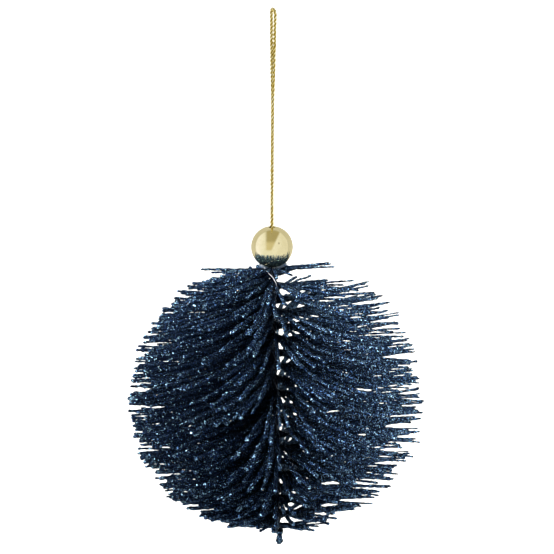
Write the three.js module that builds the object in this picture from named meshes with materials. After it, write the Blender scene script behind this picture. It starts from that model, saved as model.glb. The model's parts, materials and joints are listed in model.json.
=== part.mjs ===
// A ball-shaped bristle ornament that hangs from a doubled gold cord.
// Two wires are twisted together round the roots of the bristles, as in a bottle brush, and the bristles
// are trimmed to a ball. A drilled bead sits on the brush, glued by a collar of clear hot-melt, and both
// ends of the cord are glued into the top of its bore.
// Millimetres, +Z up, the front towards -Y. The origin is the hang point: the underside of the loop's top.
import * as THREE from "three";

// Cord
const CORD_RADIUS = 0.45;
const CORD_SIDES = 8;
const EYE_BEND_RADIUS = 1.8; // of the centreline, where the cord turns over the hook

// Each row is a height, half the distance between the two runs of the cord, and the bearing in degrees of
// the right-hand run from the centreline. The runs part into an eye at the top and touch below it.
const CORD_ROUTE = [
  [-1.35, 1.8, -70],
  [-4, 1.72, -70],
  [-8, 1.35, -66],
  [-12, 0.85, -52],
  [-15, 0.55, -40],
  [-18, 0.5, -34],
  [-22, 0.5, -50],
  [-27, 0.5, -70],
  [-33, 0.5, -82],
  [-45, 0.5, -88],
  [-58, 0.5, -84],
  [-66, 0.5, -92],
  [-75, 0.5, -82],
  [-81, 0.5, -80],
];

// Heights where the cord flexes or twists. Its solids stop short of them by half the gap.
const SWING_Z = -15;
const TWIST_Z = -35;
const TIP_Z = -73.5;
const FLEX_GAP = 1.5;
const TWIST_GAP = 0.6;
const CORD_STEP = 2.6;
const EYE_STEP = 1.2; // finer, because the eye is bent round a hook

// Bead
const BEAD_RADIUS = 7;
const BEAD_TOP = -74.7;
const BEAD_CENTRE = BEAD_TOP - BEAD_RADIUS;
const BORE_RADIUS = 1.25;
const BORE_CHAMFER = 0.35;
const TAIL_BOTTOM = BEAD_CENTRE + 1.2;

// Hot-melt collar between the bead and the brush
const GAP = 0.3; // between solids that touch
const COLLAR_RADIUS = 4.7;
const COLLAR_BOTTOM = -89.4;

// The brush hangs a little out of line with the bead, because its core isn't quite straight.
const BRUSH_LEAN = THREE.MathUtils.degToRad(1.4);

// Twisted wire core, with a left-hand twist
const WIRE_RADIUS = 0.45;
const WIRE_OFFSET = 0.5; // of each wire from the core's axis
const HALF_PITCH = 4.7; // one whorl of bristles for each half turn of the wires
const WIRE_TOP = BEAD_CENTRE + 0.3;
const WIRE_BOTTOM = -180.7;

// Bristles
const WHORLS = 19;
const SPIKES = 24; // tufts in one whorl
const BRUSH_TOP = -90.2;
const BALL_CENTRE = -135.6;
const BALL_RADIUS = 50;
const BALL_RISE = 50; // half height of the ball above its centre
const BALL_DROP = 46.5; // and below it
const HUB_RADIUS = 5.5; // where neighbouring bristles part
const HUB_THICKNESS = 1.3;
const TIP_THICKNESS = 0.7;
const TIP_WIDTH = 0.7;
const TIP_LEAN = THREE.MathUtils.degToRad(5); // the top whorls droop and the bottom ones rise by this

// Glitter-coated cap on the cut ends of the wires
const KNOB_TOP = -179.95;
const KNOB_BORE_BOTTOM = -181;
const KNOB_BOTTOM = -185.2;

const gold = new THREE.MeshStandardMaterial({ color: 0xc9b36a, roughness: 0.25, metalness: 1 });
const yarn = new THREE.MeshStandardMaterial({ color: 0xb8962f, roughness: 0.45, metalness: 0.8 });
const navyGlitter = new THREE.MeshStandardMaterial({ color: 0x14274a, roughness: 0.4, metalness: 0.5 });
const steel = new THREE.MeshStandardMaterial({ color: 0x4a4f58, roughness: 0.4, metalness: 1 });
const hotMelt = new THREE.MeshStandardMaterial({ color: 0xa9b4c4, roughness: 0.3, metalness: 0 });

const ornament = new THREE.Group();

// The brush turns about the bead's centre, and what is in it keeps its own heights.
const brush = new THREE.Group();
brush.position.z = BEAD_CENTRE;
brush.rotation.y = -BRUSH_LEAN;
ornament.add(brush);

function add(name, geometry, material, height = 0) {
  const mesh = new THREE.Mesh(geometry, material);
  mesh.name = name;
  mesh.position.z = height;
  ornament.add(mesh);
}

function addToBrush(name, geometry, material, height = 0) {
  const mesh = new THREE.Mesh(geometry, material);
  mesh.name = name;
  mesh.position.z = height - BEAD_CENTRE;
  brush.add(mesh);
}

function roundSection(radius, sides) {
  const points = [];
  for (let i = 0; i < sides; i++) {
    const angle = (2 * Math.PI * i) / sides;
    points.push(new THREE.Vector2(radius * Math.cos(angle), radius * Math.sin(angle)));
  }
  return new THREE.Shape(points);
}

function tube(curve, radius, sides, steps) {
  return new THREE.ExtrudeGeometry(roundSection(radius, sides), {
    steps,
    extrudePath: curve,
    bevelEnabled: false,
  });
}

// LatheGeometry turns about +Y, so the turned profile is stood up along +Z.
function turned(profile, segments) {
  const points = profile.map(([radius, height]) => new THREE.Vector2(radius, height));
  return new THREE.LatheGeometry(points, segments).rotateX(Math.PI / 2);
}

// A point on one run of the cord; side is +1 for the right-hand run and -1 for the left.
function cordPoint(height, side) {
  const last = CORD_ROUTE.length - 1;
  let row = CORD_ROUTE.findIndex(([z]) => z <= height);
  row = THREE.MathUtils.clamp(row < 0 ? last : row, 1, last);
  const [z0, half0, bearing0] = CORD_ROUTE[row - 1];
  const [z1, half1, bearing1] = CORD_ROUTE[row];
  const share = (height - z0) / (z1 - z0);
  const half = THREE.MathUtils.lerp(half0, half1, share);
  const bearing = THREE.MathUtils.degToRad(THREE.MathUtils.lerp(bearing0, bearing1, share));
  return new THREE.Vector3(side * half * Math.cos(bearing), side * half * Math.sin(bearing), height);
}

// Points down one run between two heights, at the route's own rows and at both ends.
function cordRun(top, bottom, side) {
  const between = CORD_ROUTE.map(([z]) => z).filter((z) => z < top - 0.5 && z > bottom + 0.5);
  return [top, ...between, bottom].map((z) => cordPoint(z, side));
}

function cordTube(points, step = CORD_STEP) {
  const curve = new THREE.CatmullRomCurve3(points, false, "centripetal");
  return tube(curve, CORD_RADIUS, CORD_SIDES, Math.ceil(curve.getLength() / step));
}

// The eye: up the left run, over the hook and down the right run, as one length of cord.
function eyeOfCord() {
  const [archBase, , archBearing] = CORD_ROUTE[0];
  const bearing = THREE.MathUtils.degToRad(archBearing);
  const arch = [];
  for (let degrees = 150; degrees >= 30; degrees -= 30) {
    const turn = THREE.MathUtils.degToRad(degrees);
    const out = EYE_BEND_RADIUS * Math.cos(turn);
    const rise = EYE_BEND_RADIUS * Math.sin(turn);
    arch.push(new THREE.Vector3(out * Math.cos(bearing), out * Math.sin(bearing), archBase + rise));
  }
  const bottom = SWING_Z + FLEX_GAP / 2;
  const left = cordRun(archBase, bottom, -1).reverse();
  const right = cordRun(archBase, bottom, 1);
  return cordTube([...left, ...arch, ...right], EYE_STEP);
}

class WireHelix extends THREE.Curve {
  constructor(phase) {
    super();
    this.phase = phase;
  }

  getPoint(t, target = new THREE.Vector3()) {
    const z = THREE.MathUtils.lerp(WIRE_TOP, WIRE_BOTTOM, t);
    const angle = (Math.PI * (BRUSH_TOP - z)) / HALF_PITCH + this.phase;
    return target.set(WIRE_OFFSET * Math.cos(angle), WIRE_OFFSET * Math.sin(angle), z);
  }
}

// A drilled ball, with both mouths of its bore eased.
function bead() {
  const mouth = BORE_RADIUS + BORE_CHAMFER;
  const start = Math.asin(mouth / BEAD_RADIUS);
  const arcSteps = 18;
  const profile = [];
  for (let i = 0; i <= arcSteps; i++) {
    const angle = Math.PI - start - ((Math.PI - 2 * start) * i) / arcSteps;
    profile.push([BEAD_RADIUS * Math.sin(angle), BEAD_RADIUS * Math.cos(angle)]);
  }
  const wall = BEAD_RADIUS * Math.cos(start) - BORE_CHAMFER;
  profile.push([BORE_RADIUS, wall], [BORE_RADIUS, -wall], profile[0]);
  return turned(profile, 28);
}

// Hot-melt squeezed out under the bead: cupped on top to the bead, flat on the bristles.
function glueCollar() {
  const cup = BEAD_RADIUS + GAP;
  const profile = [
    [BORE_RADIUS, COLLAR_BOTTOM],
    [COLLAR_RADIUS - 0.5, COLLAR_BOTTOM],
    [COLLAR_RADIUS, COLLAR_BOTTOM + 0.7],
  ];
  for (const radius of [COLLAR_RADIUS - 0.2, 3.6, 2.6, BORE_RADIUS]) {
    profile.push([radius, BEAD_CENTRE - Math.sqrt(cup * cup - radius * radius)]);
  }
  profile.push(profile[0]);
  return turned(profile, 24);
}

function knob() {
  return turned(
    [
      [0, KNOB_BOTTOM],
      [0.75, KNOB_BOTTOM + 0.3],
      [1.15, KNOB_BOTTOM + 1.2],
      [1.15, KNOB_BOTTOM + 2.1],
      [0.85, KNOB_BOTTOM + 3.1],
      [1.25, KNOB_BORE_BOTTOM - 0.35],
      [1.7, KNOB_BORE_BOTTOM + 0.3],
      [1.6, KNOB_TOP],
      [BORE_RADIUS, KNOB_TOP],
      [BORE_RADIUS, KNOB_BORE_BOTTOM],
      [0, KNOB_BORE_BOTTOM],
    ],
    16,
  );
}

function whorlHeight(index) {
  return BRUSH_TOP - (index + 0.5) * HALF_PITCH;
}

// How far up the ball a height is: +1 at its top, 0 at its centre and -1 at its bottom.
function ballShare(height) {
  const offset = height - BALL_CENTRE;
  return offset / (offset > 0 ? BALL_RISE : BALL_DROP);
}

function ballRadius(height) {
  return BALL_RADIUS * Math.sqrt(1 - ballShare(height) ** 2);
}

// The bristles follow the wires' left-hand twist, and drop by a half pitch over each half turn.
function climb(angle) {
  const step = 0.5 / (SPIKES / 2);
  const share = (((angle / Math.PI) % 1) + 1) % 1;
  const reach = HALF_PITCH * (0.5 - step);
  if (share < step) {
    return (reach * share) / step;
  }
  if (share > 1 - step) {
    return (-reach * (1 - share)) / step;
  }
  return HALF_PITCH * (0.5 - share);
}

// One whorl: the tufts that one half turn of the wires holds, as a star round the wires.
function whorl(index) {
  const height = whorlHeight(index);
  const reach = ballRadius(height);
  const lean = -Math.tan(TIP_LEAN) * ballShare(height);
  const pitchAngle = (2 * Math.PI) / SPIKES;
  const outline = [];
  for (let k = 0; k < SPIKES; k++) {
    const root = k * pitchAngle;
    const mid = root + pitchAngle / 2;
    const tip = reach * (1 - 0.02 * ((k * 5 + index * 3) % 4));
    const half = TIP_WIDTH / 2 / tip;
    outline.push(new THREE.Vector2(HUB_RADIUS * Math.cos(root), HUB_RADIUS * Math.sin(root)));
    outline.push(new THREE.Vector2(tip * Math.cos(mid - half), tip * Math.sin(mid - half)));
    outline.push(new THREE.Vector2(tip * Math.cos(mid + half), tip * Math.sin(mid + half)));
  }
  const star = new THREE.Shape(outline);
  const hole = [];
  for (let k = 0; k < SPIKES / 2; k++) {
    const angle = -2 * k * pitchAngle;
    const radius = BORE_RADIUS / Math.cos(pitchAngle);
    hole.push(new THREE.Vector2(radius * Math.cos(angle), radius * Math.sin(angle)));
  }
  star.holes.push(new THREE.Path(hole));
  const geometry = new THREE.ExtrudeGeometry(star, { depth: 1, bevelEnabled: false });
  const at = geometry.getAttribute("position");
  for (let i = 0; i < at.count; i++) {
    const x = at.getX(i);
    const y = at.getY(i);
    const radius = Math.hypot(x, y);
    const out = THREE.MathUtils.clamp((radius - HUB_RADIUS) / (reach - HUB_RADIUS), 0, 1);
    const thickness = THREE.MathUtils.lerp(HUB_THICKNESS, TIP_THICKNESS, out);
    const middle = climb(Math.atan2(y, x)) + lean * Math.max(0, radius - HUB_RADIUS);
    at.setZ(i, middle + (at.getZ(i) - 0.5) * thickness);
  }
  return geometry;
}

add("cord_eye", eyeOfCord(), yarn);
for (const [label, side] of [["left", -1], ["right", 1]]) {
  const upper = cordRun(SWING_Z - FLEX_GAP / 2, TWIST_Z + TWIST_GAP / 2, side);
  const lower = cordRun(TWIST_Z - TWIST_GAP / 2, TIP_Z + FLEX_GAP / 2, side);
  const tail = cordRun(TIP_Z - FLEX_GAP / 2, TAIL_BOTTOM, side);
  add(`cord_upper_${label}`, cordTube(upper), yarn);
  add(`cord_lower_${label}`, cordTube(lower), yarn);
  add(`cord_tail_${label}`, cordTube(tail), yarn);
}
add("bead", bead(), gold, BEAD_CENTRE);

addToBrush("glue_collar", glueCollar(), hotMelt);
const wireSteps = Math.round((6 * (WIRE_TOP - WIRE_BOTTOM)) / HALF_PITCH);
for (const [label, phase] of [["a", 0], ["b", Math.PI]]) {
  addToBrush(`core_wire_${label}`, tube(new WireHelix(phase), WIRE_RADIUS, 6, wireSteps), steel);
}
for (let index = 0; index < WHORLS; index++) {
  const number = String(index + 1).padStart(2, "0");
  addToBrush(`bristle_whorl_${number}`, whorl(index), navyGlitter, whorlHeight(index));
}
addToBrush("wire_end_knob", knob(), navyGlitter);

export default ornament;
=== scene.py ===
# A ball-shaped bristle ornament on a doubled gold cord: its looks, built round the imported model.
# Two twisted wires hold glitter-coated bristles, trimmed to a ball, with a metallised bead on top.
# Metres, +Z up, the front towards -Y, and the origin where the cord's eye hangs from its hook.
import json
import math

import bpy
import numpy as np
from mathutils import Matrix, Vector

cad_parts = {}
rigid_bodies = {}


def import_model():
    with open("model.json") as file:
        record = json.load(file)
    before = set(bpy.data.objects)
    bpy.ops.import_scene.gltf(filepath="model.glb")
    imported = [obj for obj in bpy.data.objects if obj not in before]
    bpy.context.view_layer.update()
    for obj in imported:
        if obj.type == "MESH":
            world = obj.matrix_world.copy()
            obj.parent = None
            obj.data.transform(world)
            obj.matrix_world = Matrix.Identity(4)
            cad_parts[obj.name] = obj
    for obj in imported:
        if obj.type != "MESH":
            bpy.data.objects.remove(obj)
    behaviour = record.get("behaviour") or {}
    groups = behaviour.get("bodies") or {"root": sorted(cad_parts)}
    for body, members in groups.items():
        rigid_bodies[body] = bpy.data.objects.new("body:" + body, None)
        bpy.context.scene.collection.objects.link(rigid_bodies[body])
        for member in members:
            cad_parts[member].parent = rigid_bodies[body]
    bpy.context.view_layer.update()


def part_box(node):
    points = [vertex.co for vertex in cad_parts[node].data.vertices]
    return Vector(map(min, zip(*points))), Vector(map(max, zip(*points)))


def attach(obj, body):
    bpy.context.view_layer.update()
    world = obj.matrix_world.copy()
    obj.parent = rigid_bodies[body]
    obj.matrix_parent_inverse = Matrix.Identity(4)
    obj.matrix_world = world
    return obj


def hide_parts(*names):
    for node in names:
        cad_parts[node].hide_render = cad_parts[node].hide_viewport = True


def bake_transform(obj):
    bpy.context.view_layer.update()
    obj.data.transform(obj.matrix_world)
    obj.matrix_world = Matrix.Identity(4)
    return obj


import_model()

MM = 0.001
FULL_TURN = 2 * math.pi
SEED = 20261118
rng = np.random.default_rng(SEED)


# ---------------------------------------------------------------- camera

CAMERA_ELEVATION = math.radians(15.5)
CAMERA_DISTANCE = 4.0
CAMERA_REACH = 20  # how far it sees
VIEW_WIDTH = 0.18467  # what the frame spans at the object
SENSOR_WIDTH = 36.0
TARGET = Vector((0.00167, 0, -0.0921))


def add_camera():
    data = bpy.data.cameras.new("camera")
    data.sensor_width = SENSOR_WIDTH
    data.lens = SENSOR_WIDTH * CAMERA_DISTANCE / VIEW_WIDTH
    data.clip_end = CAMERA_REACH
    camera = bpy.data.objects.new("camera", data)
    back = Vector((0, -math.cos(CAMERA_ELEVATION), math.sin(CAMERA_ELEVATION)))
    camera.location = TARGET + CAMERA_DISTANCE * back
    camera.rotation_euler = (math.pi / 2 - CAMERA_ELEVATION, 0, 0)
    bpy.context.scene.collection.objects.link(camera)
    bpy.context.scene.camera = camera


add_camera()


# ---------------------------------------------------------------- meshes

def new_piece(name, points, faces, material, smooth=True):
    """An object from an array of points and arrays of triangles or quads, each with the same corners."""
    mesh = bpy.data.meshes.new(name)
    points = np.asarray(points, np.float32)
    loops = np.concatenate([np.asarray(f, np.int32).ravel() for f in faces])
    totals = np.concatenate([np.full(len(f), np.shape(f)[1], np.int32) for f in faces])
    starts = np.concatenate([[0], np.cumsum(totals)[:-1]]).astype(np.int32)
    mesh.vertices.add(len(points))
    mesh.vertices.foreach_set("co", points.ravel())
    mesh.loops.add(len(loops))
    mesh.loops.foreach_set("vertex_index", loops)
    mesh.polygons.add(len(totals))
    mesh.polygons.foreach_set("loop_start", starts)
    mesh.update(calc_edges=True)
    mesh.validate()
    if smooth:
        mesh.shade_smooth()
    else:
        mesh.shade_flat()
    mesh.materials.append(material)
    piece = bpy.data.objects.new(name, mesh)
    bpy.context.scene.collection.objects.link(piece)
    return piece


def rings_to_faces(rings, sides, first=0, closed=False):
    """Quads between each ring of points and the next, and from the last to the first if they close."""
    ring = np.arange(rings if closed else rings - 1)
    side = np.arange(sides)
    here = ring[:, None] * sides
    there = ((ring[:, None] + 1) % rings) * sides
    after = (side + 1) % sides
    quads = np.stack([here + side, here + after, there + after, there + side], -1)
    return quads.reshape(-1, 4) + first


def end_caps(rings, sides, first=0):
    """A fan of triangles over the first ring, and one over the last."""
    side = np.arange(1, sides - 1)
    start = np.stack([np.zeros_like(side), side + 1, side], -1)
    last = (rings - 1) * sides
    end = np.stack([np.full_like(side, last), last + side, last + side + 1], -1)
    return np.concatenate([start, end]) + first


def unit(vectors):
    return vectors / np.linalg.norm(vectors, axis=-1, keepdims=True)


def run_along(path):
    """The length of a path up to each of its points."""
    return np.concatenate([[0], np.cumsum(np.linalg.norm(np.diff(path, axis=0), axis=1))])


def turns(sides):
    """The angles of the corners of a ring."""
    return FULL_TURN * np.arange(sides) / sides


def tube_frames(path):
    """Two directions across each point of a path, carried along it without twist."""
    tangent = unit(np.gradient(path, axis=0))
    across = np.zeros_like(path)
    start = np.array([1.0, 0.3, 0.2]) if abs(tangent[0][0]) < 0.8 else np.array([0.0, 1.0, 0.3])
    previous = unit(start - tangent[0] * (start @ tangent[0]))
    for i, t in enumerate(tangent):
        previous = unit(previous - t * (previous @ t))
        across[i] = previous
    return across, np.cross(tangent, across)


def tube(path, girth, sides):
    """A ring of points round each point of a path."""
    across, up = tube_frames(path)
    turn = turns(sides)
    ring = np.cos(turn)[:, None] * across[:, None] + np.sin(turn)[:, None] * up[:, None]
    return path[:, None] + girth * ring


def smooth_path(points, step, samples=24):
    """A Catmull-Rom curve through the points, resampled at even steps."""
    p = np.asarray(points, float)
    p = np.vstack([2 * p[0] - p[1], p, 2 * p[-1] - p[-2]])
    knots = np.concatenate([[0], np.cumsum(np.linalg.norm(np.diff(p, axis=0), axis=1) ** 0.5)])
    fine = []
    for i in range(1, len(p) - 2):
        t0, t1, t2, t3 = knots[i - 1 : i + 3]
        for t in np.linspace(t1, t2, samples, endpoint=False):
            a1 = (t1 - t) / (t1 - t0) * p[i - 1] + (t - t0) / (t1 - t0) * p[i]
            a2 = (t2 - t) / (t2 - t1) * p[i] + (t - t1) / (t2 - t1) * p[i + 1]
            a3 = (t3 - t) / (t3 - t2) * p[i + 1] + (t - t2) / (t3 - t2) * p[i + 2]
            b1 = (t2 - t) / (t2 - t0) * a1 + (t - t0) / (t2 - t0) * a2
            b2 = (t3 - t) / (t3 - t1) * a2 + (t - t1) / (t3 - t1) * a3
            fine.append((t2 - t) / (t2 - t1) * b1 + (t - t1) / (t2 - t1) * b2)
    fine.append(p[-2])
    fine = np.array(fine)
    run = run_along(fine)
    count = max(2, round(run[-1] / step) + 1)
    even = np.linspace(0, run[-1], count)
    return np.stack([np.interp(even, run, fine[:, k]) for k in range(3)], -1)


# ---------------------------------------------------------------- node helpers

class Nodes:
    """Short ways to make and link the nodes of one material, or of the world."""

    def __init__(self, owner, shader="Principled BSDF"):
        self.owner = owner
        owner.use_nodes = True
        self.tree = owner.node_tree
        self.shader = self.tree.nodes[shader]

    def add(self, kind, settings=None, **inputs):
        node = self.tree.nodes.new(kind)
        for key, value in (settings or {}).items():
            setattr(node, key, value)
        for key, value in inputs.items():
            self.put(node, key.replace("_", " "), value)
        return node

    def put(self, node, socket, value):
        target = node.inputs[int(socket)] if socket.isdigit() else node.inputs[socket]
        if isinstance(value, bpy.types.NodeSocket):
            self.tree.links.new(value, target)
        else:
            target.default_value = value

    def math(self, operation, a, b=0.0):
        node = self.add("ShaderNodeMath", {"operation": operation})
        self.put(node, "0", a)
        self.put(node, "1", b)
        return node.outputs[0]

    def vector(self, operation, a, b=(0, 0, 0)):
        node = self.add("ShaderNodeVectorMath", {"operation": operation})
        self.put(node, "0", a)
        self.put(node, "1", b)
        return node.outputs[0]

    def dot(self, a, b):
        node = self.add("ShaderNodeVectorMath", {"operation": "DOT_PRODUCT"})
        self.put(node, "0", a)
        self.put(node, "1", b)
        return node.outputs["Value"]

    def step(self, value, start, end, low=0.0, high=1.0):
        """A soft step from low to high as the value goes from start to end."""
        node = self.add("ShaderNodeMapRange", {"interpolation_type": "SMOOTHSTEP"})
        for socket, number in zip(("Value", "From Min", "From Max", "To Min", "To Max"),
                                  (value, start, end, low, high)):
            self.put(node, socket, number)
        return node.outputs["Result"]

    def between(self, share, a, b):
        """The number a or b, or one between them, by the share."""
        node = self.add("ShaderNodeMix", {"data_type": "FLOAT"})
        self.put(node, "0", share)
        self.put(node, "2", a)
        self.put(node, "3", b)
        return node.outputs[0]

    def scaled(self, a, factor):
        node = self.add("ShaderNodeVectorMath", {"operation": "SCALE"})
        self.put(node, "0", a)
        self.put(node, "Scale", factor)
        return node.outputs[0]

    def mix(self, factor, a, b):
        node = self.add("ShaderNodeMix", {"data_type": "RGBA"})
        self.put(node, "0", factor)
        self.put(node, "6", a)
        self.put(node, "7", b)
        return node.outputs[2]

    def ramp(self, factor, stops, interpolation="LINEAR"):
        node = self.add("ShaderNodeValToRGB", Fac=factor)
        ramp = node.color_ramp
        ramp.interpolation = interpolation
        while len(ramp.elements) < len(stops):
            ramp.elements.new(0.5)
        for element, (position, colour) in zip(ramp.elements, stops):
            element.position = position
            element.color = (*colour, 1)
        return node.outputs["Color"]

    def cells(self, place, scale):
        """Random cells, each with its own colour: the scale is their number in a metre."""
        return self.add("ShaderNodeTexVoronoi", {"feature": "F1"}, Vector=place, Scale=scale)

    def channels(self, colour):
        return self.add("ShaderNodeSeparateColor", Color=colour).outputs

    def place(self):
        return self.add("ShaderNodeTexCoord").outputs["Object"]

    def set(self, **values):
        for key, value in values.items():
            self.put(self.shader, key.replace("_", " "), value)


# ---------------------------------------------------------------- sizes of the bead and the ball

BEAD_RADIUS = 7 * MM
bead_low, bead_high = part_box("bead")
BEAD_CENTRE = (bead_low.z + bead_high.z) / 2
BRUSH_LEAN = math.radians(1.4)  # about the bead's centre
BALL_CENTRE = -135.6 * MM
BALL_RADIUS = 50 * MM
BALL_RISE = 50 * MM  # half height of the ball above its centre
BALL_DROP = 46.5 * MM  # and below it
BRUSH_BOTTOM = -180.5 * MM
HAIR_UNSHADED = -91.0 * MM  # the hair of glue is pale above this height, free of painted shade
HAIR_SHADED = -92.6 * MM  # and dark with painted shade below this one, where it hangs among the bristles


# ---------------------------------------------------------------- materials

GLITTER_FLAKES = 4200.0  # in a metre, and so for each scale below
GLITTER_SPECKS = 3100.0
GLITTER_TILT = 1.35
TIP_CRUST_AND_HIGHLIGHT = (0.86, 0.96)  # where the coat thickens over the tips, with more pale specks that are partly a painted highlight, on the way out
PALE_SPECKS = (0.970, 0.90)  # the share of specks that aren't pale, away from the tips and over them, where the extra pale ones are partly a painted highlight
WARM_SPECKS = 0.9993  # the share of specks that aren't straw-coloured
CORE_PAINTED_SHADE = (0.05, 0.70)  # where the painted shade by the core fades, on the way out
YARN_FACETS = 2600.0
YARN_TILT = 0.7


def facing_flakes(n, cells, tilt):
    """The surface's normal, tipped by a different amount in each flake."""
    away = n.vector("SUBTRACT", cells.outputs["Color"], (0.5, 0.5, 0.5))
    surface = n.add("ShaderNodeNewGeometry").outputs["Normal"]
    return n.vector("NORMALIZE", n.vector("ADD", surface, n.scaled(away, tilt)))


def way_out(n, place):
    """0 on the core of the brush and 1 at its trimmed surface."""
    x, y, z = n.add("ShaderNodeSeparateXYZ", Vector=place).outputs
    x = n.math("ADD", x, n.math("MULTIPLY", n.math("SUBTRACT", z, BEAD_CENTRE), math.tan(BRUSH_LEAN)))
    offset = n.math("SUBTRACT", z, BALL_CENTRE)
    half_height = n.between(n.math("GREATER_THAN", offset, 0.0), BALL_DROP, BALL_RISE)
    tall = n.math("POWER", n.math("ABSOLUTE", n.math("DIVIDE", offset, half_height)), 2.0)
    wide = n.math("ADD", n.math("MULTIPLY", x, x), n.math("MULTIPLY", y, y))
    wide = n.math("DIVIDE", wide, BALL_RADIUS ** 2)
    room = n.math("MAXIMUM", n.math("SUBTRACT", 1.0, tall), 0.1)
    share = n.math("SQRT", n.math("DIVIDE", wide, room))
    return n.math("MAXIMUM", share, n.math("LESS_THAN", z, BRUSH_BOTTOM))


def glitter():
    """Flakes of blue foil in clear binder: each flake has its own tilt and its own shade.
    Painted shade darkens the coat near the core, where the inside of the ball is in shade. The coat is
    thickest over the cut tips, where more pale specks are partly a painted highlight."""
    n = Nodes(bpy.data.materials.new("navy_glitter"))
    place = n.place()
    flakes = n.cells(place, GLITTER_FLAKES)
    specks = n.cells(place, GLITTER_SPECKS)
    picked = n.channels(flakes.outputs["Color"])
    rare = n.channels(specks.outputs["Color"])
    out = way_out(n, place)
    shade = n.ramp(picked[0], [
        (0.0, (0.002, 0.004, 0.011)),
        (0.30, (0.006, 0.012, 0.034)),
        (0.56, (0.019, 0.042, 0.112)),
        (0.79, (0.090, 0.190, 0.40)),
        (0.91, (0.36, 0.60, 0.90)),
    ], "CONSTANT")
    # More pale specks over the cut tips: partly the thicker crust there, and partly a painted highlight.
    pale = n.math("GREATER_THAN", rare[1], n.step(out, *TIP_CRUST_AND_HIGHLIGHT, *PALE_SPECKS))
    warm = n.math("GREATER_THAN", rare[2], WARM_SPECKS)
    shade = n.mix(pale, shade, (0.42, 0.68, 0.86, 1))
    shade = n.mix(warm, shade, (0.70, 0.60, 0.46, 1))
    # Painted shade: the flakes darken to near black towards the core, where the inside of the ball is in
    # shade.
    shade = n.mix(n.step(out, *CORE_PAINTED_SHADE, 0.90, 0.0), shade, (0.0015, 0.003, 0.008, 1))
    n.set(Base_Color=shade, Metallic=0.84, Roughness=0.20)
    n.set(Normal=facing_flakes(n, flakes, GLITTER_TILT))
    n.set(Specular_IOR_Level=0.12, Specular_Tint=(0.52, 0.68, 0.95, 1))
    return n.owner


def yarn():
    """Gold lurex: narrow foil wound round each ply, creased into small facets."""
    n = Nodes(bpy.data.materials.new("gold_yarn"))
    place = n.place()
    facets = n.cells(place, YARN_FACETS)
    tone_and_glint_patches = n.add("ShaderNodeTexNoise", Vector=place, Scale=1500.0, Detail=3.0, Roughness=0.6)
    # Random tone of the foil. Its brightest patches are painted highlights that stand in for the foil's
    # glints.
    colour = n.ramp(tone_and_glint_patches.outputs["Fac"], [
        (0.36, (0.55, 0.40, 0.07)),
        (0.48, (0.92, 0.76, 0.26)),
        (0.60, (1.0, 0.97, 0.64)),
    ])
    n.set(Base_Color=colour, Metallic=0.8, Roughness=0.34, Normal=facing_flakes(n, facets, YARN_TILT))
    n.set(Specular_IOR_Level=0.2, Specular_Tint=(0.55, 0.40, 0.10, 1))
    return n.owner


def core_thread_groove_shade():
    """The dull thread that the plies are laid round, seen only in the grooves between them, where its dark
    colour paints their shade.
    """
    n = Nodes(bpy.data.materials.new("core_thread_groove_shade"))
    fuzz = n.add("ShaderNodeTexNoise", Vector=n.place(), Scale=2200.0, Detail=3.0)
    # Dark, to paint the shade in the grooves between the plies.
    colour = n.ramp(fuzz.outputs["Fac"], [(0.35, (0.17, 0.11, 0.008)), (0.7, (0.36, 0.25, 0.025))])
    n.set(Base_Color=colour, Metallic=0.2, Roughness=0.7, Specular_IOR_Level=0.1)
    return n.owner


def bead_gold():
    """Metallised plastic: a bright pale gold film with fine haze, pits and a few dark specks."""
    n = Nodes(bpy.data.materials.new("pale_gold_film"))
    place = n.place()
    haze = n.add("ShaderNodeTexNoise", Vector=place, Scale=420.0, Detail=5.0, Roughness=0.6)
    fine = n.add("ShaderNodeTexNoise", Vector=place, Scale=2600.0, Detail=3.0, Roughness=0.5)
    pits = n.cells(place, 420.0)
    which = n.channels(pits.outputs["Color"])
    size = n.math("MULTIPLY", n.math("GREATER_THAN", which[0], 0.8), 0.16)
    pit = n.math("LESS_THAN", pits.outputs["Distance"], size)
    film = n.ramp(haze.outputs["Fac"], [(0.3, (0.81, 0.73, 0.44)), (0.7, (0.89, 0.82, 0.53))])
    colour = n.mix(n.math("MULTIPLY", pit, 0.5), film, (0.30, 0.24, 0.12, 1))
    rough = n.math("ADD", n.math("MULTIPLY", fine.outputs["Fac"], 0.10), 0.05)
    dents = n.math("ADD", n.math("MULTIPLY", haze.outputs["Fac"], 0.5), n.math("MULTIPLY", pit, -0.6))
    bump = n.add("ShaderNodeBump", Strength=0.12, Distance=0.0001, Height=dents)
    n.set(Base_Color=colour, Metallic=1.0, Roughness=rough, Normal=bump.outputs["Normal"])
    return n.owner


def dark_wire():
    """Dark steel, dull and slightly rough."""
    n = Nodes(bpy.data.materials.new("dark_wire"))
    grain = n.add("ShaderNodeTexNoise", Vector=n.place(), Scale=1500.0, Detail=4.0)
    colour = n.ramp(grain.outputs["Fac"], [(0.35, (0.006, 0.008, 0.014)), (0.7, (0.03, 0.04, 0.06))])
    bump = n.add("ShaderNodeBump", Strength=0.3, Distance=0.00005, Height=grain.outputs["Fac"])
    n.set(Base_Color=colour, Metallic=0.8, Roughness=0.45, Normal=bump.outputs["Normal"])
    return n.owner


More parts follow.
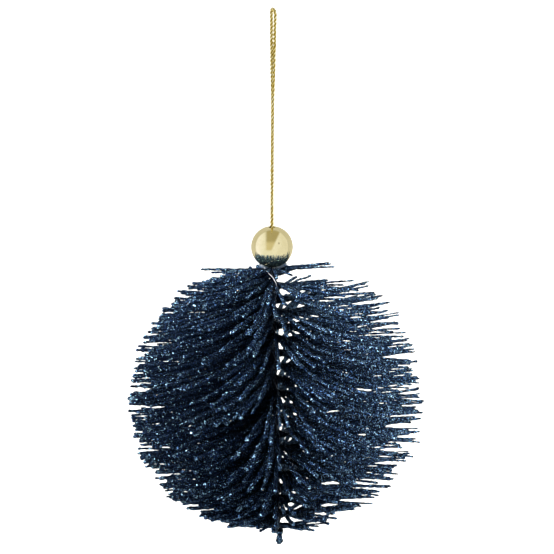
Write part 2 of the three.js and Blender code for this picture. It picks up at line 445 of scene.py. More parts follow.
def hot_melt():
    """Cloudy clear glue with glitter caught in it."""
    n = Nodes(bpy.data.materials.new("hot_melt"))
    place = n.place()
    cloud = n.add("ShaderNodeTexNoise", Vector=place, Scale=350.0, Detail=4.0)
    caught = n.cells(place, 900.0)
    which = n.channels(caught.outputs["Color"])
    flake = n.math("MULTIPLY", n.math("GREATER_THAN", which[0], 0.72),
                   n.math("LESS_THAN", caught.outputs["Distance"], 0.35))
    colour = n.ramp(cloud.outputs["Fac"], [(0.3, (0.09, 0.13, 0.20)), (0.7, (0.30, 0.35, 0.44))])
    colour = n.mix(n.math("MULTIPLY", flake, 0.75), colour, (0.03, 0.10, 0.25, 1))
    bump = n.add("ShaderNodeBump", Strength=0.25, Distance=0.0003, Height=cloud.outputs["Fac"])
    n.set(Base_Color=colour, Roughness=0.22, Normal=bump.outputs["Normal"])
    n.set(Transmission_Weight=0.35, IOR=1.48)
    return n.owner


def glue_thread():
    """The hair of glue: pale above, and dark lower down with painted shade, where it hangs among the
    bristles.
    """
    n = Nodes(bpy.data.materials.new("glue_thread"))
    place = n.place()
    grain = n.add("ShaderNodeTexNoise", Vector=place, Scale=900.0, Detail=2.0)
    colour = n.ramp(grain.outputs["Fac"], [(0.3, (0.42, 0.44, 0.48)), (0.7, (0.72, 0.74, 0.78))])
    height = n.add("ShaderNodeSeparateXYZ", Vector=place).outputs[2]
    # Painted shade: the hair turns dark as it goes down among the bristles.
    colour = n.mix(n.step(height, HAIR_UNSHADED, HAIR_SHADED), colour, (0.02, 0.035, 0.07, 1))
    n.set(Base_Color=colour, Roughness=0.25, Specular_IOR_Level=0.7)
    return n.owner


GLITTER = glitter()
YARN = yarn()
CORE_THREAD_GROOVE_SHADE = core_thread_groove_shade()
BEAD_GOLD = bead_gold()
DARK_WIRE = dark_wire()
HOT_MELT = hot_melt()
GLUE_THREAD = glue_thread()


# ---------------------------------------------------------------- cord

# The route is in mm. The bend at its top is a little flatter than a half circle.
EYE_BEND_RADIUS = 1.8
EYE_RISE = 1.4
CORD_SLANT = 0.45  # how far the top of the cord lies to the right of the bead's axis
SLANT_START = 60  # how far below the origin the slant begins
# Height, half the distance between the two runs, and the bearing in degrees of the right-hand run.
CORD_ROUTE = [
    (-1.35, 1.8, -70),
    (-4, 1.72, -70),
    (-8, 1.35, -66),
    (-12, 0.85, -52),
    (-15, 0.55, -40),
    (-18, 0.5, -34),
    (-22, 0.5, -50),
    (-27, 0.5, -70),
    (-33, 0.5, -82),
    (-45, 0.5, -88),
    (-58, 0.5, -84),
    (-66, 0.5, -92),
    (-75, 0.5, -82),
    (-80.5, 0.5, -80.2),
]
LOOP_END_Z = -19.5 * MM
MIDDLE_END_Z = -50 * MM
PLIES = 3
PLY_RADIUS = 0.20 * MM
PLY_OFFSET = 0.36 * MM
PLY_PITCH = 4.5 * MM
PLY_DRIFT = 0.3  # turns by which the lay runs ahead or behind along the cord
PLY_DRIFT_LENGTH = 11 * MM
PLY_STEP = 0.14 * MM
PLY_SIDES = 8
THREAD_RADIUS = 0.38 * MM  # of the dull thread inside the plies, whose dark colour paints the shade in the grooves


def cord_centreline():
    """Up the left run, over the eye and down the right run."""
    def at(row, side):
        height, half, bearing = row
        angle = math.radians(bearing)
        return (side * half * math.cos(angle), side * half * math.sin(angle), height)

    base, _, bearing = CORD_ROUTE[0]
    angle = math.radians(bearing)
    arch = []
    for degrees in (150, 120, 90, 60, 30):
        out = EYE_BEND_RADIUS * math.cos(math.radians(degrees))
        rise = EYE_RISE * math.sin(math.radians(degrees))
        arch.append((out * math.cos(angle), out * math.sin(angle), base + rise))
    left = [at(row, -1) for row in reversed(CORD_ROUTE)]
    right = [at(row, 1) for row in CORD_ROUTE]
    route = np.array(left + arch + right)
    route[:, 0] += CORD_SLANT * np.clip(1 + route[:, 2] / SLANT_START, 0, 1)
    return smooth_path(route * MM, PLY_STEP)


class Cord:
    """The whole cord's centreline and plies, from which each piece takes its own stretch."""

    def __init__(self):
        self.path = cord_centreline()
        self.run = run_along(self.path)
        across, up = tube_frames(self.path)
        self.top = int(np.argmax(self.path[:, 2]))
        self.plies = []
        for ply in range(PLIES):
            drift = PLY_DRIFT * np.sin(self.run / PLY_DRIFT_LENGTH)
            turn = FULL_TURN * (self.run / PLY_PITCH + drift + ply / PLIES)
            out = np.cos(turn)[:, None] * across + np.sin(turn)[:, None] * up
            self.plies.append(self.path + PLY_OFFSET * out)

    def piece(self, name, low, high):
        """One stretch of the cord, between two indexes of its path: its plies, then the thread inside."""
        points, quads, tris = [], [], []
        rings = high - low
        strands = [(ply, PLY_RADIUS) for ply in self.plies] + [(self.path, THREAD_RADIUS)]
        for number, (centre, girth) in enumerate(strands):
            first = number * rings * PLY_SIDES
            points.append(tube(centre, girth, PLY_SIDES)[low:high].reshape(-1, 3))
            quads.append(rings_to_faces(rings, PLY_SIDES, first))
            tris.append(end_caps(rings, PLY_SIDES, first))
        faces = [np.concatenate(quads), np.concatenate(tris)]
        piece = new_piece(name, np.concatenate(points), faces, YARN)
        piece.data.materials.append(CORE_THREAD_GROOVE_SHADE)
        inside = [np.repeat([0] * PLIES + [1], len(part)) for part in (quads[0], tris[0])]
        piece.data.polygons.foreach_set("material_index", np.concatenate(inside).astype(np.int32))
        return piece

    def declare(self, piece, low, high, leaves):
        path = self.path[low:high:3]
        if leaves == "high":
            path = path[::-1]


def make_cord():
    """Five pieces of one cord, each across a joint of the cord."""
    cord = Cord()
    heights = cord.path[:, 2]
    count = len(heights)
    left, right = heights[: cord.top], heights[cord.top :]
    left_loop = int(np.searchsorted(left, LOOP_END_Z))
    left_middle = int(np.searchsorted(left, MIDDLE_END_Z))
    right_loop = cord.top + int(np.searchsorted(-right, -LOOP_END_Z))
    right_middle = cord.top + int(np.searchsorted(-right, -MIDDLE_END_Z))

    loop = cord.piece("cord_loop", left_loop, right_loop + 1)
    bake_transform(loop)
    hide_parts("cord_eye")
    cord.declare(loop, left_loop, right_loop + 1, "low")

    spans = {
        "left": ((left_middle, left_loop + 1), (0, left_middle + 1), "low"),
        "right": ((right_loop, right_middle + 1), (right_middle, count), "high"),
    }
    for side, (middle_span, end_span, leaves) in spans.items():
        middle = cord.piece(f"cord_middle_{side}", *middle_span)
        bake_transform(middle)
        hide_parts(f"cord_upper_{side}", f"cord_lower_{side}")
        cord.declare(middle, *middle_span, leaves)
        end = cord.piece(f"cord_end_{side}", *end_span)
        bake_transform(end)
        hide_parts(f"cord_tail_{side}")
        cord.declare(end, *end_span, leaves)


make_cord()


# ---------------------------------------------------------------- the brush's own frame

def leaned(points):
    """Points of the straight brush, turned about the bead's centre as the real core leans."""
    p = np.asarray(points, float).copy()
    c, s = math.cos(BRUSH_LEAN), math.sin(BRUSH_LEAN)
    x, z = p[..., 0].copy(), p[..., 2] - BEAD_CENTRE
    p[..., 0] = x * c - z * s
    p[..., 2] = x * s + z * c + BEAD_CENTRE
    return p


# ---------------------------------------------------------------- bead

BORE_RADIUS = 1.1 * MM
BORE_ROLL = 0.2 * MM
BEAD_SEGMENTS = 128
BEAD_RINGS = 72
ROLL_RINGS = 6
BORE_RINGS = 14


def lathe(profile, segments, wobble=None):
    """A closed profile of (radius, height) turned about Z. The wobble changes each radius by its angle."""
    profile = np.asarray(profile, float)
    angles = turns(segments)[:, None]
    radius = np.repeat(profile[None, :, 0], segments, 0)
    height = np.repeat(profile[None, :, 1], segments, 0)
    if wobble is not None:
        radius = wobble(radius, angles)
    points = np.stack([radius * np.cos(angles), radius * np.sin(angles), height], -1)
    return points.reshape(-1, 3), rings_to_faces(segments, len(profile), closed=True)


def make_bead():
    """A ball with a bore down its axis, rolled over at both mouths."""
    mouth = BORE_RADIUS + BORE_ROLL
    start = math.asin(mouth / BEAD_RADIUS)
    profile = []
    for angle in np.linspace(start, math.pi - start, BEAD_RINGS):
        profile.append((BEAD_RADIUS * math.sin(angle), BEAD_RADIUS * math.cos(angle)))
    rim = BEAD_RADIUS * math.cos(start)
    for turn in np.linspace(0, math.pi / 2, ROLL_RINGS)[1:]:
        profile.append((mouth - BORE_ROLL * math.sin(turn), -rim + BORE_ROLL * (1 - math.cos(turn))))
    for height in np.linspace(-rim + BORE_ROLL, rim - BORE_ROLL, BORE_RINGS)[1:]:
        profile.append((BORE_RADIUS, height))
    for turn in np.linspace(math.pi / 2, 0, ROLL_RINGS)[1:-1]:
        profile.append((mouth - BORE_ROLL * math.sin(turn), rim - BORE_ROLL * (1 - math.cos(turn))))
    points, faces = lathe(profile, BEAD_SEGMENTS)
    points[:, 2] += BEAD_CENTRE
    piece = new_piece("bead_shell", points, [faces], BEAD_GOLD)
    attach(piece, "ball")
    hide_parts("bead")


make_bead()


# ---------------------------------------------------------------- core wires

WIRE_RADIUS = 0.45 * MM
WIRE_OFFSET = 0.5 * MM
HALF_PITCH = 4.7 * MM
BRUSH_TOP = -90.2 * MM
WIRE_TOP = BEAD_CENTRE + 0.3 * MM
WIRE_BOTTOM = -180.7 * MM
WIRE_RINGS = 520
WIRE_SIDES = 14


def make_wires():
    heights = np.linspace(WIRE_TOP, WIRE_BOTTOM, WIRE_RINGS)
    for label, phase in (("a", 0.0), ("b", math.pi)):
        angle = math.pi * (BRUSH_TOP - heights) / HALF_PITCH + phase
        path = np.stack([WIRE_OFFSET * np.cos(angle), WIRE_OFFSET * np.sin(angle), heights], -1)
        points = tube(path, WIRE_RADIUS, WIRE_SIDES).reshape(-1, 3)
        faces = [rings_to_faces(WIRE_RINGS, WIRE_SIDES), end_caps(WIRE_RINGS, WIRE_SIDES)]
        piece = new_piece(f"wire_{label}", leaned(points), faces, DARK_WIRE)
        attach(piece, "ball")
        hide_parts(f"core_wire_{label}")


make_wires()


# ---------------------------------------------------------------- bristles

WHORLS = 19
BRISTLES_PER_WHORL = 88
BRISTLE_SIDES = 9
BRISTLE_STEP = 0.40 * MM
BRISTLE_RADIUS = 0.56 * MM
RADIUS_SPREAD = 0.08 * MM
THINNEST, THICKEST = 0.34 * MM, 0.72 * MM
SHORTEST = 6 * MM
GRAIN = 0.09 * MM  # how far a flake of glitter stands out of line
SLIDE = 0.3  # how far it lies from its place along the bristle, in steps
BEND = 0.7 * MM  # of a bristle's tip to one side
SAG, SAG_SPREAD = -0.3 * MM, 0.42 * MM
SLOPE_SPREAD = 0.013
WAVE_LENGTHS = (9 * MM, 26 * MM)
WAVE_SIZES = (0.02 * MM, 0.16 * MM)
LUMP_LENGTHS = (1.6 * MM, 4.5 * MM)
LUMP_SIZE, LUMP_NOISE = 0.13, 0.05  # of the girth
ROOT_GIRTH = 0.4  # of the full girth, which it reaches over the root's length
ROOT_LENGTH = 6 * MM
# The thicker crust of glitter on the cut tip: its share of the girth, and its distance from the tip.
CRUST_SIZE, CRUST_PLACE, CRUST_LENGTH = 0.14, 0.8 * MM, 0.7 * MM
TIP_ROUND = 0.55 * MM
# How far a root lies from its even place: in steps round the whorl, by its turn, and in height.
PLACE_SPREAD, TURN_SPREAD, HEIGHT_SPREAD = 0.35, math.radians(2.2), 0.25 * MM

# How full the brush is, against the angle from its front in degrees, down its left and its right side.
FULL_LEFT = ([0, 14, 35, 60, 90, 150, 180], [0.52, 0.58, 0.62, 0.90, 1.0, 0.95, 0.6])
FULL_RIGHT = ([0, 12, 40, 60, 120, 145, 180], [0.52, 0.40, 0.48, 0.86, 0.88, 0.42, 0.55])
THIN_WHORLS = 3  # at the top, where only this share of the right side is there
THIN_SHARE = 0.7
# For the right and the left half of the brush: how much the lengths vary, the share of bristles that
# were cut short, the droop in degrees, and how much slimmer the bristles at its very side are.
RAGGED = (0.034, 0.017)
CUT_SHORT = (0.16, 0.07)
DROOP = (1.0, 2.0)
SLIMMER = (0.14, 0.04)
CUT_AWAY = 0.12  # the most that is missing from a bristle that was cut short
BOTTOM_RISE = (3, 8)  # in degrees: the rise of the lower bristles, and how it grows to the bottom
FRONT_GIRTH = 0.10  # how much thicker the front bristles are
FRONT_EVEN = 0.75  # how much less they lean together
# The share of its girth that a bristle loses by its tip, from the left side of the brush to the right.
TAPER = ([-1, -0.3, 0.2, 1], [0.22, 0.10, 0.12, 0.40])
CLUMPS_ACROSS = (17, 1.1 * MM)  # how many clumps lean sideways in a whorl, and how far
CLUMPS_UP = (21, 1.6 * MM)

# The brush begins under the bead, where a last part of a whorl has its roots in the glue.
CROWN_TOP = -88.7 * MM
CROWN_GAP_BOTTOM = -91.6 * MM
# The bristles just under the glue: the direction and the rise in degrees, the height and the length in mm.
CROWN = [
    (-13, 5.0, -89.6, 18),
    (-5, 3.0, -89.3, 21),
    (1, 3.5, -89.0, 19),
    (6, 2.0, -89.4, 20),
    (12, 1.0, -89.2, 15),
    (170, -4.0, -89.5, 19),
    (176, -1.5, -89.6, 22),
    (182, 0.0, -89.4, 24),
    (189, 1.0, -89.5, 21),
    (197, 1.5, -89.4, 18),
    (228, 4.0, -88.9, 13),
    (246, 6.0, -88.7, 15),
    (262, 6.0, -88.8, 12),
    (277, 6.0, -88.7, 16),
    (295, 5.0, -88.8, 14),
]
CROWN_GIRTH = 0.8  # of a bristle's radius
CAP = 0.86  # the share of the ball's rise by which the rear bristles droop and are trimmed the most
REAR_DROOP = 8  # in degrees
REAR_TRIM = 0.3


def ball_share(height):
    """-1 at the bottom of the ball, 0 at its middle and 1 at its top."""
    offset = height - BALL_CENTRE
    return offset / np.where(offset > 0, BALL_RISE, BALL_DROP)


def ball_radius(height):
    return BALL_RADIUS * np.sqrt(np.clip(1 - ball_share(height) ** 2, 0, 1))


def fullness(azimuth):
    """The share of the bristles that is there, by their direction."""
    from_front = np.degrees(np.abs((azimuth + 1.5 * math.pi) % FULL_TURN - math.pi))
    right, left = np.interp(from_front, *FULL_RIGHT), np.interp(from_front, *FULL_LEFT)
    return np.where(np.cos(azimuth) > 0, right, left)


def to_front(azimuth):
    """1 at the front of the brush, and 0 from its sides on to its back."""
    return np.clip(-np.sin(azimuth), 0, 1)


def clumps(azimuth, knots, size):
    """A smooth random shift round a whorl, so that neighbours lean together and leave slits between."""
    shifts = rng.normal(0, size, knots)
    spot = (azimuth / FULL_TURN % 1) * knots
    low = spot.astype(int) % knots
    share = spot - np.floor(spot)
    share = share * share * (3 - 2 * share)
    return shifts[low] * (1 - share) + shifts[(low + 1) % knots] * share


def bristle_centres(root, direction, length, along, share, sway, lift):
    """The bent and slightly wavy centreline of each bristle, and its two directions across."""
    count = len(root)
    side = unit(np.cross(direction, [0.0, 0.0, 1.0]))
    over = np.cross(side, direction)
    bend_side = (rng.normal(0, BEND, count) + sway)[:, None] * share ** 2
    bend_over = (rng.normal(SAG, SAG_SPREAD, count) + lift)[:, None] * share ** 1.6
    wave = rng.uniform(*WAVE_LENGTHS, (2, count))[..., None]
    phase = rng.uniform(0, FULL_TURN, (2, count))[..., None]
    size = rng.uniform(*WAVE_SIZES, (2, count))[..., None]
    fade = np.minimum(1, share * 4)[None, :]
    bend_side = bend_side + size[0] * fade * np.sin(FULL_TURN * along / wave[0] + phase[0])
    bend_over = bend_over + size[1] * fade * np.sin(FULL_TURN * along / wave[1] + phase[1])
    centre = (root[:, None] + along[..., None] * direction[:, None]
              + bend_side[..., None] * side[:, None] + bend_over[..., None] * over[:, None])
    return centre, side[:, None, None], over[:, None, None]


def bristle_girths(length, along, share, radius, taper):
    """Thin at the root, lumpy, a little thinner towards the tip, and crusted and rounded there."""
    lump_wave = rng.uniform(*LUMP_LENGTHS, len(length))[:, None]
    lump_phase = rng.uniform(0, FULL_TURN, len(length))[:, None]
    lumps = 1 + LUMP_SIZE * np.sin(FULL_TURN * along / lump_wave + lump_phase)
    lumps = lumps + rng.normal(0, LUMP_NOISE, along.shape)
    near_root = ROOT_GIRTH + (1 - ROOT_GIRTH) * np.clip(along / ROOT_LENGTH, 0, 1)
    to_tip = 1 - taper[:, None] * share[None, :] ** 2
    from_tip = length[:, None] - along
    crust = 1 + CRUST_SIZE * np.exp(-((from_tip - CRUST_PLACE) / CRUST_LENGTH) ** 2)
    dome = np.sqrt(np.clip(1 - np.clip(1 - from_tip / TIP_ROUND, 0, 1) ** 2, 0.03, 1))
    return radius[:, None] * near_root * to_tip * lumps * crust * dome


def bristle_faces(rings):
    """The triangles of one bristle, whose rings are turned by half a side against their neighbours."""
    ring = np.arange(rings - 1)[:, None]
    here, there = ring * BRISTLE_SIDES, (ring + 1) * BRISTLE_SIDES
    corner = np.arange(BRISTLE_SIDES)[None, :]
    after = (corner + 1) % BRISTLE_SIDES
    a, b, c, d = here + corner, here + after, there + after, there + corner
    even = (ring % 2 == 0)[..., None]
    first = np.where(even, np.stack([a, b, d], -1), np.stack([a, b, c], -1))
    second = np.where(even, np.stack([b, c, d], -1), np.stack([a, c, d], -1))
    faces = np.concatenate([first.reshape(-1, 3), second.reshape(-1, 3), end_caps(rings, BRISTLE_SIDES)])
    return faces[:, ::-1]  # side and over turn left-handed about the direction, so this faces them outward


def bristle_tubes(root, direction, length, radius, taper, sway, lift):
    """Rough tubes along each bristle: flat facets of glitter, with lumps and a rounded, crusted tip."""
    count = len(root)
    rings = int(math.ceil(length.max() / BRISTLE_STEP)) + 1
    shape = (count, rings, BRISTLE_SIDES)
    share = np.linspace(0, 1, rings)
    along = share[None, :] * length[:, None]
    centre, side, over = bristle_centres(root, direction, length, along, share, sway, lift)
    girth = bristle_girths(length, along, share, radius, taper)

    half_steps = 0.5 * (np.arange(rings)[:, None] % 2)
    turn = FULL_TURN * (np.arange(BRISTLE_SIDES)[None, :] + half_steps) / BRISTLE_SIDES
    turn = (turn[None] + rng.uniform(0, FULL_TURN, count)[:, None, None])[..., None]
    grain = rng.uniform(-GRAIN, GRAIN, shape) * (girth / radius[:, None])[..., None]
    reach = (girth[..., None] + grain)[..., None]
    slide = rng.uniform(-SLIDE, SLIDE, shape) * BRISTLE_STEP
    slide[:, -1] *= 0.2
    points = (centre[:, :, None] + reach * (np.cos(turn) * side + np.sin(turn) * over)
              + slide[..., None] * direction[:, None, None])
    offsets = np.arange(count)[:, None, None] * rings * BRISTLE_SIDES
    return points.reshape(-1, 3), (bristle_faces(rings)[None] + offsets).reshape(-1, 3)


def whorl_roots(index):
    """The azimuth and height of each bristle that one half turn of the wires holds, out of both sides."""
    per_side = BRISTLES_PER_WHORL // 2
    count = 2 * per_side
    place = (np.tile(np.arange(per_side), 2) + rng.uniform(-PLACE_SPREAD, PLACE_SPREAD, count)) / per_side
    half_turn = (math.pi * place) % math.pi
    opposite = np.repeat([0.0, math.pi], per_side)
    azimuth = half_turn + opposite + rng.normal(0, TURN_SPREAD, count)
    height = BRUSH_TOP - HALF_PITCH * (index + half_turn / math.pi)
    return azimuth, height + rng.normal(0, HEIGHT_SPREAD, count)


def top_roots(azimuth, height):
    """The roots of the top whorl, with those in the glue, and with a gap under the crown's right."""
    more_azimuth, more_height = whorl_roots(-1)
    in_glue = (more_height < CROWN_TOP) & (np.sin(more_azimuth) < -0.5)
    azimuth = np.concatenate([azimuth, more_azimuth[in_glue]])
    height = np.concatenate([height, more_height[in_glue]])
    under_crown = (np.cos(azimuth) > 0.6) & (height > CROWN_GAP_BOTTOM)
    return azimuth[~under_crown], height[~under_crown]


def directed(azimuth, slope):
    return unit(np.stack([np.cos(azimuth), np.sin(azimuth), slope], -1))


def on_axis(height):
    zero = np.zeros_like(height)
    return np.stack([zero, zero, height], -1)


def crown_bristles():
    """The azimuth, root, direction, length and radius of each bristle of the crown."""
    azimuth, rise, height, length = np.array(CROWN, float).T
    azimuth, rise = np.radians(azimuth), np.radians(rise)
    radius = np.full(len(CROWN), CROWN_GIRTH * BRISTLE_RADIUS)
    return azimuth, on_axis(height * MM), directed(azimuth, np.tan(rise)), length * MM, radius


def make_whorl(index):
    """The bristles of one half turn of the wires, trimmed to the ball, as one piece."""
    azimuth, height = whorl_roots(index)
    if index == 0:
        azimuth, height = top_roots(azimuth, height)
    count = len(azimuth)
    rightward, backward = np.cos(azimuth), np.clip(np.sin(azimuth), 0, 1)
    on_right = rightward > 0
    thinned = np.where((rightward > 0.3) & (index < THIN_WHORLS), THIN_SHARE, 1)
    keep = rng.random(count) < fullness(azimuth) * thinned

    cut_short = (rng.random(count) < np.where(on_right, *CUT_SHORT)) * rng.uniform(0, CUT_AWAY, count)
    missing = np.abs(rng.normal(0, 1, count)) * np.where(on_right, *RAGGED)
    length = ball_radius(height) * (1 - missing - cut_short)
    share = ball_share(height)
    to_cap = np.clip(share / CAP, 0, 1)
    length = length * (1 - REAR_TRIM * backward * to_cap ** 8)
    length = np.maximum(length, SHORTEST)

    droop = np.where(on_right, *DROOP) + REAR_DROOP * backward * to_cap ** 4
    low_rise, bottom_rise = BOTTOM_RISE
    rise = np.where(share > 0, -droop * share, -share * (low_rise + bottom_rise * share ** 2))
    direction = directed(azimuth, np.tan(np.radians(rise)) + rng.normal(0, SLOPE_SPREAD, count))
    root = on_axis(height)
    girth = (1 - np.where(on_right, *SLIMMER) * rightward ** 2) * (1 + FRONT_GIRTH * to_front(azimuth))
    radius = rng.normal(BRISTLE_RADIUS, RADIUS_SPREAD, count).clip(THINNEST, THICKEST) * girth

    if index == 0:
        bristles = zip((azimuth, root, direction, length, radius), crown_bristles())
        azimuth, root, direction, length, radius = (np.concatenate(pair) for pair in bristles)
        keep = np.concatenate([keep, np.full(len(CROWN), True)])
    taper = np.interp(np.cos(azimuth), *TAPER)
    together = 1 - FRONT_EVEN * to_front(azimuth)
    sway = clumps(azimuth, *CLUMPS_ACROSS) * together
    lift = clumps(azimuth, *CLUMPS_UP) * together
    chosen = (a[keep] for a in (root, direction, length, radius, taper, sway, lift))
    points, faces = bristle_tubes(*chosen)
    piece = new_piece(f"bristles_{index + 1:02d}", leaned(points), [faces], GLITTER, smooth=False)
    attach(piece, "ball")
    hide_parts(f"bristle_whorl_{index + 1:02d}")


for whorl in range(WHORLS):
    make_whorl(whorl)


# ---------------------------------------------------------------- hot-melt collar and its hair

COLLAR_RADIUS = 4.6 * MM
COLLAR_HOLE = 1.3 * MM
COLLAR_BOTTOM = -88.3 * MM
COLLAR_MIDDLE = 0.5 * MM  # how thick it is under the bead
COLLAR_EDGE = 0.3 * MM  # how round the rim is
COLLAR_GAP = 0.05 * MM
COLLAR_SEGMENTS = 120
COLLAR_DRAWN_IN = 0.42  # at the front, where the bristles stand close to it
HAIR_STEP = 0.2 * MM
HAIR_SIDES = 8
HAIR_GIRTH = ([0, 0.4, 0.6, 1], [0.10, 0.09, 0.04, 0.025])  # in mm, along the hair
HAIR_ROUTE = [  # in mm
    (-2.6, -4.0, -87.7),
    (-1.2, -6.4, -88.9),
    (0.3, -8.2, -90.1),
    (1.4, -9.8, -91.7),
    (1.7, -12.6, -93.2),
    (1.3, -15.6, -94.9),
    (1.2, -18.0, -97.6),
    (1.0, -19.6, -101.0),
]


def collar_profile():
    """Out along the underside, round the rim, and back in along the bead."""
    cup = BEAD_RADIUS + COLLAR_GAP
    flat = COLLAR_RADIUS - COLLAR_EDGE
    deepest = BEAD_CENTRE - cup - COLLAR_MIDDLE
    profile = []
    for radius in np.linspace(COLLAR_HOLE, flat, 10):
        share = (radius - COLLAR_HOLE) / (flat - COLLAR_HOLE)
        profile.append((radius, deepest + (COLLAR_BOTTOM - deepest) * share ** 2))
    edge_top = BEAD_CENTRE - math.sqrt(cup ** 2 - flat ** 2)
    middle = (edge_top + COLLAR_BOTTOM) / 2
    half = (edge_top - COLLAR_BOTTOM) / 2
    for angle in np.linspace(-math.pi / 2, math.pi / 2, 16)[1:-1]:
        profile.append((flat + COLLAR_EDGE * math.cos(angle), middle + half * math.sin(angle)))
    for radius in np.linspace(flat, COLLAR_HOLE, 12):
        profile.append((radius, BEAD_CENTRE - math.sqrt(cup ** 2 - radius ** 2)))
    return profile


def squeezed(radius, angle):
    """A radius of the collar, whose outer part has a soft uneven outline."""
    outward = np.clip((radius - 2.5 * MM) / (2.2 * MM), 0, 1)
    swell = 0.06 * np.sin(2 * angle + 0.8) + 0.04 * np.sin(5 * angle + 2) + 0.02 * np.sin(11 * angle)
    return radius * (1 + outward * (swell - 0.04 - COLLAR_DRAWN_IN * to_front(angle) ** 2))


def make_collar():
    points, faces = lathe(collar_profile(), COLLAR_SEGMENTS, squeezed)
    piece = new_piece("glue_ring", leaned(points), [faces[:, ::-1]], HOT_MELT)
    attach(piece, "ball")
    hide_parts("glue_collar")


def make_hair():
    """A hair of glue drawn out from the collar, down over the front of the brush."""
    path = smooth_path(np.array(HAIR_ROUTE) * MM, HAIR_STEP)
    girth = np.interp(np.linspace(0, 1, len(path)), *HAIR_GIRTH) * MM
    points = tube(path, girth[:, None, None], HAIR_SIDES).reshape(-1, 3)
    faces = [rings_to_faces(len(path), HAIR_SIDES), end_caps(len(path), HAIR_SIDES)]
    piece = new_piece("glue_hair", points, faces, GLUE_THREAD)
    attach(piece, "ball")


make_collar()
make_hair()


# ---------------------------------------------------------------- end of the core

KNOB_RINGS = 26
KNOB_SIDES = 16
# Its radius in mm, against the share of its height.
KNOB_GIRTH = ([0, 0.04, 0.14, 0.3, 0.42, 0.6, 0.8, 0.96, 1.0],
              [0.0, 0.7, 1.15, 1.25, 0.95, 0.85, 1.2, 1.5, 1.3])
KNOB_ROUGH = 0.13  # in mm
KNOB_UNEVEN = 0.05
KNOB_TWIST = 0.35  # of the facets from ring to ring
LOBE_TWIST = 0.5  # of the two wires' outline
LOBE_SIZE = 0.12


def make_knob():
    """The cut ends of the wires, crusted in glitter, with a blob at the very end."""
    low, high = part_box("wire_end_knob")
    centre_x = (low.x + high.x) / 2
    heights = np.linspace(low.z, high.z, KNOB_RINGS)
    share = (heights - low.z) / (high.z - low.z)
    girth = np.interp(share, *KNOB_GIRTH)[:, None] * MM
    ring = np.arange(KNOB_RINGS)[:, None]
    turn = turns(KNOB_SIDES) + ring * KNOB_TWIST
    rough = rng.uniform(-KNOB_ROUGH, KNOB_ROUGH, turn.shape) * MM
    reach = np.maximum(girth + rough * (girth > 0), 0.02 * MM)
    reach = reach * (1 + LOBE_SIZE * np.cos(2 * (turn - ring * LOBE_TWIST)))
    uneven = rng.uniform(-KNOB_UNEVEN, KNOB_UNEVEN, turn.shape) * MM * (share[:, None] > 0)
    height = heights[:, None] + uneven
    points = np.stack([centre_x + reach * np.cos(turn), reach * np.sin(turn), height], -1)
    faces = [rings_to_faces(KNOB_RINGS, KNOB_SIDES), end_caps(KNOB_RINGS, KNOB_SIDES)]
    piece = new_piece("core_end", points.reshape(-1, 3), faces, GLITTER, smooth=False)
    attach(piece, "ball")
    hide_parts("wire_end_knob")


make_knob()


# ---------------------------------------------------------------- floor, lights and world

FLOOR_Z = -0.30
FLOOR_HALF = 30.0
# Each key light's place, the sides of its panel and its power in watts.
KEYS = {
    "left_key": ((-0.66, -0.40, 0.36), (0.42, 0.5), 14),
    "right_key": ((0.66, -0.40, 0.34), (0.42, 0.5), 2.4),
    "top_key": ((0.05, -0.25, 0.70), (0.4, 0.4), 4),
}
KEY_AIM = Vector((0, 0, -0.12))
# The room is painted by how far across, up and ahead its picture in a mirror ball lies, seen from the
# room's own front. Each edge runs from its soft start to its end.
FRONT_TILT = math.radians(15.5)
LEFT_WALL_EDGE, RIGHT_WALL_EDGE = (-0.75, -0.28), (0.0, 0.75)
OPENING_LEFT, OPENING_BOTTOM = (-0.37, -0.20), (-0.22, -0.12)
OPENING_RIGHT, OPENING_SLANT = 0.07, 0.46  # its right edge at mid height, and how that slants
OPENING_SOFT = (-0.04, 0.07)
OPENING_FADE, ROOM_FADE = (0.12, 0.32), (-0.3, 0.6)
TENT_EDGE = (0.58, 0.66)
HEM, HEM_WIDTH, HEM_SHADE = 0.612, 0.025, 0.78
WALL_LEFT, WALL_MIDDLE, WALL_RIGHT = (1.12, 1.12, 1.24, 1), (0.97, 0.96, 0.92, 1), (0.88, 0.855, 0.78, 1)
OPENING_LOW, OPENING_HIGH = (0.72, 0.65, 0.43, 1), (0.48, 0.42, 0.24, 1)
ROOM_LOW, ROOM_HIGH = (0.76, 0.73, 0.64, 1), (0.69, 0.655, 0.54, 1)


def add_floor():
    """A pale seamless floor, lit from within so that it stays even to its far edge."""
    n = Nodes(bpy.data.materials.new("pale_floor"))
    n.set(Base_Color=(0.9, 0.9, 0.9, 1), Roughness=0.9)
    n.set(Emission_Color=(1, 1, 1, 1), Emission_Strength=0.75)
    mesh = bpy.data.meshes.new("floor")
    corners = [(x * FLOOR_HALF, y * FLOOR_HALF, FLOOR_Z) for x, y in ((-1, -1), (1, -1), (1, 1), (-1, 1))]
    mesh.from_pydata(corners, [], [(0, 1, 2, 3)])
    mesh.materials.append(n.owner)
    floor = bpy.data.objects.new("floor", mesh)
    bpy.context.scene.collection.objects.link(floor)
    floor.visible_diffuse = False
    floor.visible_glossy = False
    floor.visible_transmission = False


GOLD_LIT_APART = bpy.data.collections.new("gold_lit_apart")


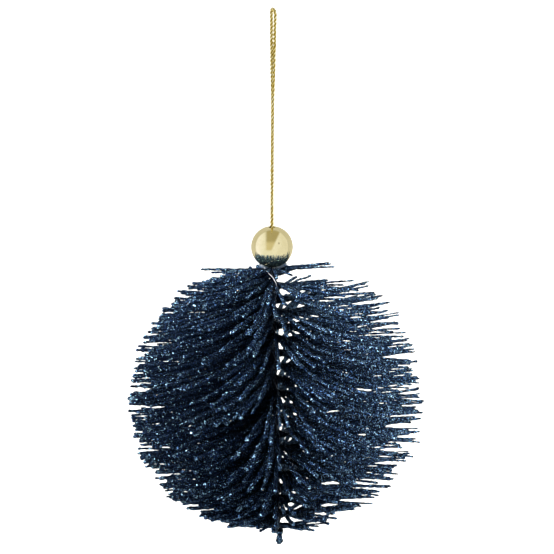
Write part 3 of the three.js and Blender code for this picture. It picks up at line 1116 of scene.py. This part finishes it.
def add_key(name, place, size, power):
    """A soft key light for the brush. The bead's film and the gold cord mirror the room alone."""
    data = bpy.data.lights.new(name, "AREA")
    data.shape = "RECTANGLE"
    data.size, data.size_y = size
    data.energy = power
    light = bpy.data.objects.new(name, data)
    place = Vector(place)
    toward = (KEY_AIM - place).normalized()
    light.matrix_world = Matrix.Translation(place) @ toward.to_track_quat("-Z", "Y").to_matrix().to_4x4()
    light.visible_camera = False
    light.light_linking.receiver_collection = GOLD_LIT_APART
    bpy.context.scene.collection.objects.link(light)


def exclude_gold():
    """Takes the bead and the cord out of the key lights."""
    for piece in bpy.data.objects:
        if piece.name == "bead_shell" or piece.name.startswith("cord_"):
            GOLD_LIT_APART.objects.link(piece)
    for member in GOLD_LIT_APART.collection_objects:
        member.light_linking.link_state = "EXCLUDE"


def add_world():
    """A white tent, open in a wedge above the front, as a mirror ball hung in it would show it."""
    n = Nodes(bpy.data.worlds.new("studio"), "Background")
    direction = n.add("ShaderNodeTexCoord").outputs["Generated"]
    front = (0.0, -math.cos(FRONT_TILT), math.sin(FRONT_TILT))
    half_way = n.vector("NORMALIZE", n.vector("ADD", direction, front))
    across = n.dot(half_way, (1.0, 0.0, 0.0))
    up = n.dot(half_way, (0.0, math.sin(FRONT_TILT), math.cos(FRONT_TILT)))
    ahead = n.dot(half_way, front)

    wall = n.mix(n.step(across, *LEFT_WALL_EDGE), WALL_LEFT, WALL_MIDDLE)
    wall = n.mix(n.step(across, *RIGHT_WALL_EDGE), wall, WALL_RIGHT)
    right_edge = n.math("ADD", n.math("MULTIPLY", up, OPENING_SLANT), OPENING_RIGHT)
    from_right = n.step(n.math("SUBTRACT", right_edge, across), *OPENING_SOFT)
    within = n.math("MULTIPLY", n.step(across, *OPENING_LEFT), from_right)
    within = n.math("MULTIPLY", within, n.step(up, *OPENING_BOTTOM))
    opening = n.mix(n.step(up, *OPENING_FADE), OPENING_LOW, OPENING_HIGH)
    tent = n.mix(within, wall, opening)
    hem = n.step(n.math("ABSOLUTE", n.math("SUBTRACT", ahead, HEM)), 0.0, HEM_WIDTH, HEM_SHADE, 1.0)
    room = n.mix(n.step(up, *ROOM_FADE), ROOM_LOW, ROOM_HIGH)
    n.set(Strength=hem, Color=n.mix(n.step(ahead, *TENT_EDGE), room, tent))
    bpy.context.scene.world = n.owner


add_floor()
add_world()
exclude_gold()
for key_name, key in KEYS.items():
    add_key(key_name, *key)
bpy.context.scene.view_settings.view_transform = "Standard"
